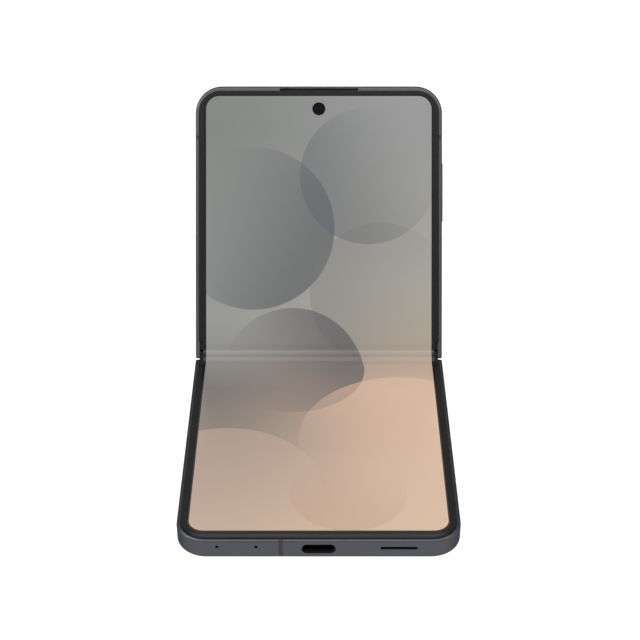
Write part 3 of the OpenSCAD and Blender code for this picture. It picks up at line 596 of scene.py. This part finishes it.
def wallpaper():
    """Lit panel behind a glossy film: a soft grey to peach gradient with large, translucent discs."""
    k = Mat("inner_screen")
    uvn = k.n("UVMap", uv_map="screen")
    sep = k.n("SeparateXYZ")
    k.link(uvn.outputs["UV"], sep.inputs[0])
    # millimetres from the centre of the open screen
    X = k.math("MULTIPLY", k.math("SUBTRACT", sep.outputs[0], 0.5), 100.0)
    Y = k.math("MULTIPLY", k.math("SUBTRACT", sep.outputs[1], 0.5), 200.0)
    # vertical tone, top to bottom, then a warmer right-hand side
    t = k.maprange(Y, 82.0, -82.0, 0.0, 1.0)
    left = k.ramp(t, [(0.08, tone(130, 132, 130)), (0.42, tone(150, 151, 149)), (0.60, tone(125, 120, 115)),
                      (0.78, tone(148, 134, 124)), (1.0, tone(195, 170, 150))])
    right = k.ramp(t, [(0.08, tone(150, 151, 150)), (0.36, tone(165, 162, 152)), (0.49, tone(170, 155, 140)), (0.60, tone(205, 175, 155)),
                       (1.0, tone(215, 185, 160))])
    side = k.maprange(X, -34.0, 34.0, 0.0, 1.0, smooth=True)
    base = k.mix(side, left, right)

    def disc(cx, cy, r, edge, soft, shade, amount):
        """A soft-filled disc: strongest at its rim on one side and fading across"""
        dx = k.math("SUBTRACT", X, cx)
        dy = k.math("SUBTRACT", Y, cy)
        d = k.math("SQRT", k.math("ADD", k.math("MULTIPLY", dx, dx), k.math("MULTIPLY", dy, dy)))
        inside = k.maprange(d, r, r - edge, 0.0, 1.0, smooth=True)
        ux, uy = math.cos(soft), math.sin(soft)
        along = k.math("ADD", k.math("MULTIPLY", dx, ux), k.math("MULTIPLY", dy, uy))
        fade = k.maprange(along, -r, r, 0.0, 1.0, smooth=True)
        return k.math("MULTIPLY", k.math("MULTIPLY", inside, fade), amount), shade

    c = base
    for spec in (
        (-20.0, 40.0, 25.0, 0.5, math.radians(330), tone(80, 85, 90), 0.70),
        (15.0, 56.0, 21.0, 0.5, math.radians(215), tone(95, 100, 105), 0.55),
        (19.0, 20.0, 22.0, 0.5, math.radians(160), tone(115, 115, 115), 0.36),
        (-8.0, -6.0, 22.0, 0.5, math.radians(20), tone(85, 85, 90), 0.74),
        (24.0, -40.0, 30.0, 0.6, math.radians(70), tone(225, 190, 165), 0.50),
        (-26.0, -62.0, 27.0, 0.6, math.radians(110), tone(210, 180, 160), 0.38),
        (8.0, -64.0, 16.0, 0.5, math.radians(250), tone(185, 150, 130), 0.38),
    ):
        f, shade = disc(*spec)
        c = k.mix(f, c, shade)
    # the unlit border of the panel
    ax = k.math("ABSOLUTE", X)
    ay = k.math("MAXIMUM", Y, k.math("SUBTRACT", LIT_FAR_UP - LIT_FAR_LOW, Y))
    r = LIT_R
    qx = k.math("MAXIMUM", k.math("SUBTRACT", ax, LIT_W - r), 0.0)
    qy = k.math("MAXIMUM", k.math("SUBTRACT", ay, LIT_FAR_UP - r), 0.0)
    d = k.math("SQRT", k.math("ADD", k.math("MULTIPLY", qx, qx), k.math("MULTIPLY", qy, qy)))
    lit = k.math("LESS_THAN", d, r)
    # ring round the camera's hole
    hx = k.math("MULTIPLY", X, X)
    hy = k.math("POWER", k.math("ABSOLUTE", k.math("SUBTRACT", Y, 76.4)), 2.0)
    hole = k.math("GREATER_THAN", k.math("SQRT", k.math("ADD", hx, hy)), 2.0)
    lit = k.math("MULTIPLY", lit, hole)
    shown = k.mix(lit, (0.0, 0.0, 0.0), c)
    dark = k.mix(lit, (0.006, 0.006, 0.007), (0.016, 0.016, 0.017))
    k.link(dark, k.b.inputs["Base Color"])
    k.link(shown, k.b.inputs["Emission Color"])
    k.set(Emission_Strength=EMIT, Roughness=0.24, Specular_IOR_Level=0.30, Coat_Weight=0.15, Coat_Roughness=0.12,
          IOR=1.45)
    v = k.coords()
    k.bump(k.noise(v, 35.0, 1.0), 0.02, 0.0002)
    return k.m


EMIT = 1.0
GLARE = 0.025
SCREEN_MAT = wallpaper()
low = screen("folding_screen_lower", False)
upp = screen("folding_screen_upper", True)
cut_hole(upp, 0.0, 76.4, 1.85)
for o in (low, upp):
    dress(o, SCREEN_MAT)

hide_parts("lower_display_panel", "display_fold_section")
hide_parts("upper_display_panel")
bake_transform(low)
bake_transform(upp)

# ---- flexible cables across the hinge ------------------------------------

CABLE_H, CABLE_T = 0.01, 0.08        # height over the axes when flat, thickness
CABLE_END, CABLE_W = 12.5, 6.0       # reach from the fold, width


def cable_pair(name, upper):
    """Two thin printed cables, from the spine's centre line to their end in one half"""
    me = bpy.data.meshes.new(name)
    bm = bmesh.new()
    top = section(lambda t: CABLE_H + CABLE_T / 2)
    bot = section(lambda t: CABLE_H - CABLE_T / 2)
    line = [((AX - s, CABLE_H + CABLE_T / 2), (AX - s, CABLE_H - CABLE_T / 2))
            for s in [CABLE_END - i * (CABLE_END - FLEX) / 10 for i in range(10)]]
    line += [((t[0], t[1]), (b[0], b[1])) for t, b in zip(top, bot)]
    for cx in (-8.0, 8.0):
        cols = 6
        rows = []
        for t, b in line:
            row = []
            for p in (t, b):
                y, z = p[0] + AXIS_A[0], p[1] + AXIS_A[1]
                if upper:
                    y, z = mirror_spine(y, z)
                row.append([bm.verts.new(((cx - CABLE_W / 2 + CABLE_W * j / cols) * MM, y * MM, z * MM))
                            for j in range(cols + 1)])
            rows.append(row)
        for (t0, b0), (t1, b1) in zip(rows, rows[1:]):
            for j in range(cols):
                bm.faces.new((t0[j], t0[j + 1], t1[j + 1], t1[j]))
                bm.faces.new((b0[j], b1[j], b1[j + 1], b0[j + 1]))
            bm.faces.new((t0[0], t1[0], b1[0], b0[0]))
            bm.faces.new((t0[cols], b0[cols], b1[cols], t1[cols]))
        for (t, b), flip in ((rows[0], False), (rows[-1], True)):
            for j in range(cols):
                f = (t[j], b[j], b[j + 1], t[j + 1])
                bm.faces.new(tuple(reversed(f)) if flip else f)
    bmesh.ops.recalc_face_normals(bm, faces=bm.faces)
    for f in bm.faces:
        f.smooth = True
    for e in bm.edges:
        if len(e.link_faces) == 2 and e.calc_face_angle(0.0) > math.radians(40):
            e.smooth = False
    bm.to_mesh(me)
    bm.free()
    o = bpy.data.objects.new(name, me)
    bpy.context.scene.collection.objects.link(o)
    dress(o, FLEX_FILM)
    return o


cable_low = cable_pair("flex_cables_lower_half", False)
cable_upp = cable_pair("flex_cables_upper_half", True)
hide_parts("hinge_flex_cables")
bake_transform(cable_low)
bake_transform(cable_upp)

# ---- camera --------------------------------------------------------------

F_PX = 1531.9
cam_data = bpy.data.cameras.new("camera")
cam_data.sensor_width = 36.0
cam_data.lens = F_PX / 640 * 36.0
cam_data.clip_start, cam_data.clip_end = 0.02, 20.0
cam = bpy.data.objects.new("camera", cam_data)
bpy.context.scene.collection.objects.link(cam)
cam.location = (0.3521 * MM, -342.9447 * MM, 272.2201 * MM)
cam.rotation_euler = (math.pi / 2 - 0.5806, 0, 0)
bpy.context.scene.camera = cam

# ---- floor, light --------------------------------------------------------

floor_me = bpy.data.meshes.new("floor")
floor_me.from_pydata([(-3, -3, 0), (3, -3, 0), (3, 3, 0), (-3, 3, 0)], [], [(0, 1, 2, 3)])
floor = bpy.data.objects.new("floor", floor_me)
bpy.context.scene.collection.objects.link(floor)
floor.location.z = -0.00002
k = Mat("floor")
fv = k.coords()
k.link(k.ramp(k.noise(fv, 3.0), [(0.3, (0.24, 0.24, 0.24)), (0.7, (0.26, 0.26, 0.26))]), k.b.inputs["Base Color"])
k.set(Roughness=0.9, Specular_IOR_Level=0.1, Emission_Color=(1, 1, 1, 1), Emission_Strength=0.96)
floor_me.materials.append(k.m)

world = bpy.data.worlds.new("world")
bpy.context.scene.world = world
world.use_nodes = True
world.node_tree.nodes["Background"].inputs[0].default_value = (1, 1, 1, 1)
world.node_tree.nodes["Background"].inputs[1].default_value = 0.30


def area(name, loc, target, size, power, shape="RECTANGLE", size_y=None, tint=(1.0, 0.985, 0.93)):
    d = bpy.data.lights.new(name, "AREA")
    d.shape = shape
    d.size = size
    d.size_y = size_y or size
    d.energy = power
    d.color = tint
    o = bpy.data.objects.new(name, d)
    bpy.context.scene.collection.objects.link(o)
    o.location = loc
    o.rotation_mode = "QUATERNION"
    o.rotation_quaternion = (Vector(target) - Vector(loc)).to_track_quat("-Z", "Y")
    return o


area("key", (-1.0, -0.25, 0.85), (0, 0, 0.04), 0.8, 12.0)
area("fill", (1.0, -0.3, 0.9), (0, 0, 0.04), 0.6, 6.0)
area("top", (0, -0.32, 1.05), (0, 0.04, 0.02), 1.3, 6.3, size_y=0.75)
area("edge", (0, -0.66, 0.95), (0, -0.04, 0.01), 1.4, 3.2, size_y=0.15)
area("front", (0, -1.3, 0.74), (0, 0.05, 0.06), 1.4, 1.2, size_y=0.45, tint=(1.0, 1.0, 1.0))
area("back", (0, 1.15, 0.78), (0, 0, 0.03), 1.3, 1.9, size_y=0.5)

sc = bpy.context.scene
sc.view_settings.view_transform = "Standard"
sc.view_settings.look = "None"
sc.view_settings.exposure = 0.0
sc.view_settings.gamma = 1.0

bpy.context.view_layer.update()
